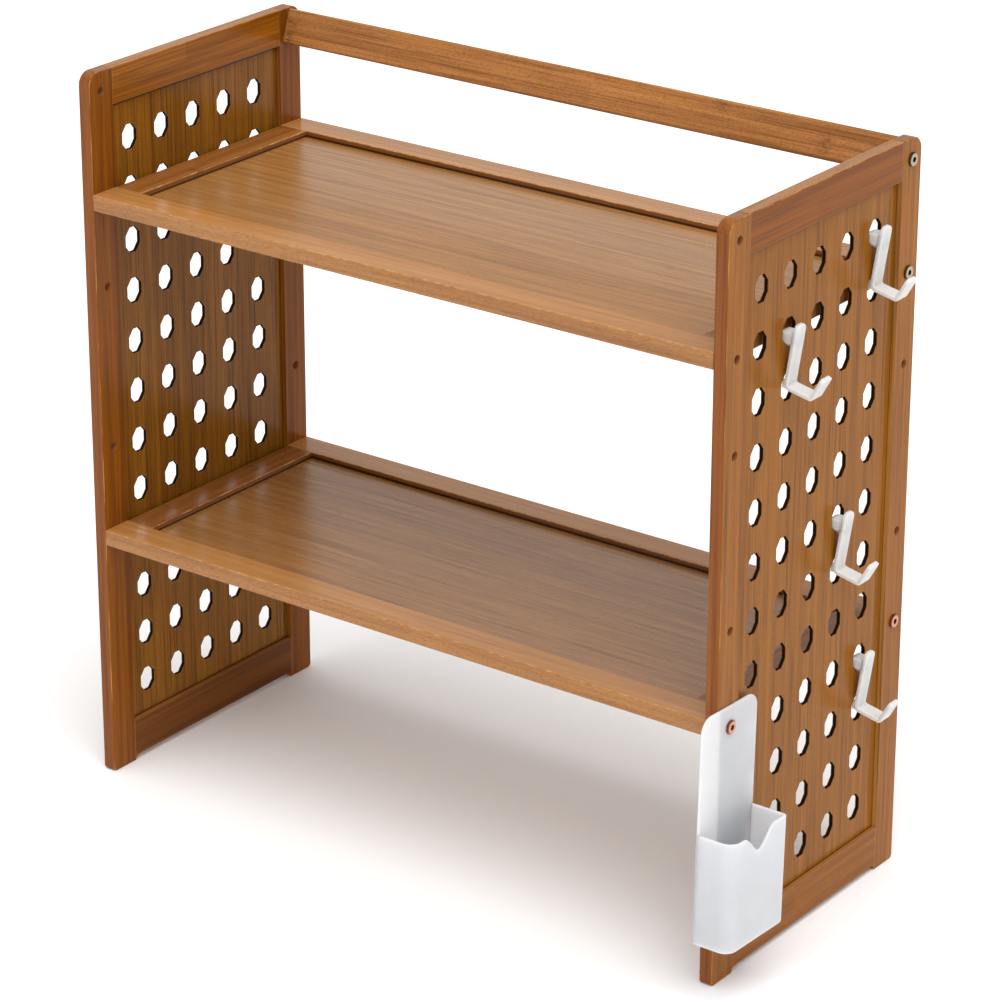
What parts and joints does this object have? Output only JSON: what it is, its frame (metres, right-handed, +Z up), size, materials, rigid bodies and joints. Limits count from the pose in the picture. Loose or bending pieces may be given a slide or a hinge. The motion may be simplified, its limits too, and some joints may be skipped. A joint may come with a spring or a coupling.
{
  "type": "desktop storage rack",
  "caption": "Desktop storage rack of stained bamboo: perforated frame-and-panel sides, framed shelves, a tilting back rail, lift-off peg hooks and a bolted pen cup.",
  "frame": {"origin": "on the floor, under the middle of the rack's box with its hooks and cup", "axes": "+X to the right along the shelves, +Y from the front to the back, +Z up"},
  "size_m": [0.533, 0.2377, 0.5],
  "materials": {
    "bamboo_post": "stained and lacquered, satin",
    "bamboo_rail": "stained and lacquered, satin",
    "bamboo_panel": "stained and lacquered, satin",
    "bamboo_bar": "stained and lacquered, satin",
    "bamboo_short_bar": "stained and lacquered, satin",
    "bamboo_board": "stained and lacquered, semi-gloss",
    "bamboo_back_rail": "stained and lacquered, satin",
    "insert_brass": "plain",
    "bolt_nickel": "plated",
    "bolt_copper": "copper-coloured plating",
    "hook_plastic": "moulded, smooth",
    "cup_plastic": "moulded, slightly translucent"
  },
  "bodies": {
    "rack": {"left_front_post": "bamboo_post", "left_rear_post": "bamboo_post", "left_top_rail": "bamboo_rail", "left_bottom_rail": "bamboo_rail", "left_panel": "bamboo_panel", "right_front_post": "bamboo_post", "right_rear_post": "bamboo_post", "right_top_rail": "bamboo_rail", "right_bottom_rail": "bamboo_rail", "right_panel": "bamboo_panel", "upper_shelf_front_bar": "bamboo_bar", "upper_shelf_rear_bar": "bamboo_bar", "upper_shelf_left_bar": "bamboo_short_bar", "upper_shelf_right_bar": "bamboo_short_bar", "upper_shelf_board": "bamboo_board", "upper_left_front_insert": "insert_brass", "upper_left_rear_insert": "insert_brass", "upper_right_front_insert": "insert_brass", "upper_right_rear_insert": "insert_brass", "lower_shelf_front_bar": "bamboo_bar", "lower_shelf_rear_bar": "bamboo_bar", "lower_shelf_left_bar": "bamboo_short_bar", "lower_shelf_right_bar": "bamboo_short_bar", "lower_shelf_board": "bamboo_board", "lower_left_front_insert": "insert_brass", "lower_left_rear_insert": "insert_brass", "lower_right_front_insert": "insert_brass", "lower_right_rear_insert": "insert_brass", "rail_left_bolt": "bolt_nickel", "rail_right_bolt": "bolt_nickel", "upper_left_front_bolt": "bolt_nickel", "lower_left_front_bolt": "bolt_copper", "upper_left_rear_bolt": "bolt_nickel", "lower_left_rear_bolt": "bolt_copper", "upper_right_rear_bolt": "bolt_nickel", "lower_right_rear_bolt": "bolt_copper", "cup_bolt": "bolt_copper", "pen_cup": "cup_plastic"},
    "back_rail": {"back_rail": "bamboo_back_rail", "rail_left_insert": "insert_brass", "rail_right_insert": "insert_brass"},
    "hook_1": {"hook_1": "hook_plastic"},
    "hook_2": {"hook_2": "hook_plastic"},
    "hook_3": {"hook_3": "hook_plastic"},
    "hook_4": {"hook_4": "hook_plastic"}
  },
  "joints": [
    {"name": "back_rail_tilt", "type": "hinge", "parent": "rack", "child": "back_rail", "pos_m": [-0.0129, 0.10783, 0.4865], "axis": [-1, 0, 0], "range_deg": [-20, 30]},
    {"name": "hook_1_lift_off", "type": "slide", "parent": "rack", "child": "hook_1", "axis": [0.7071, 0, 0.7071], "range_m": [0, 0.03]},
    {"name": "hook_2_lift_off", "type": "slide", "parent": "rack", "child": "hook_2", "axis": [0.7071, 0, 0.7071], "range_m": [0, 0.03]},
    {"name": "hook_3_lift_off", "type": "slide", "parent": "rack", "child": "hook_3", "axis": [0.7071, 0, 0.7071], "range_m": [0, 0.03]},
    {"name": "hook_4_lift_off", "type": "slide", "parent": "rack", "child": "hook_4", "axis": [0.7071, 0, 0.7071], "range_m": [0, 0.03]}
  ]
}
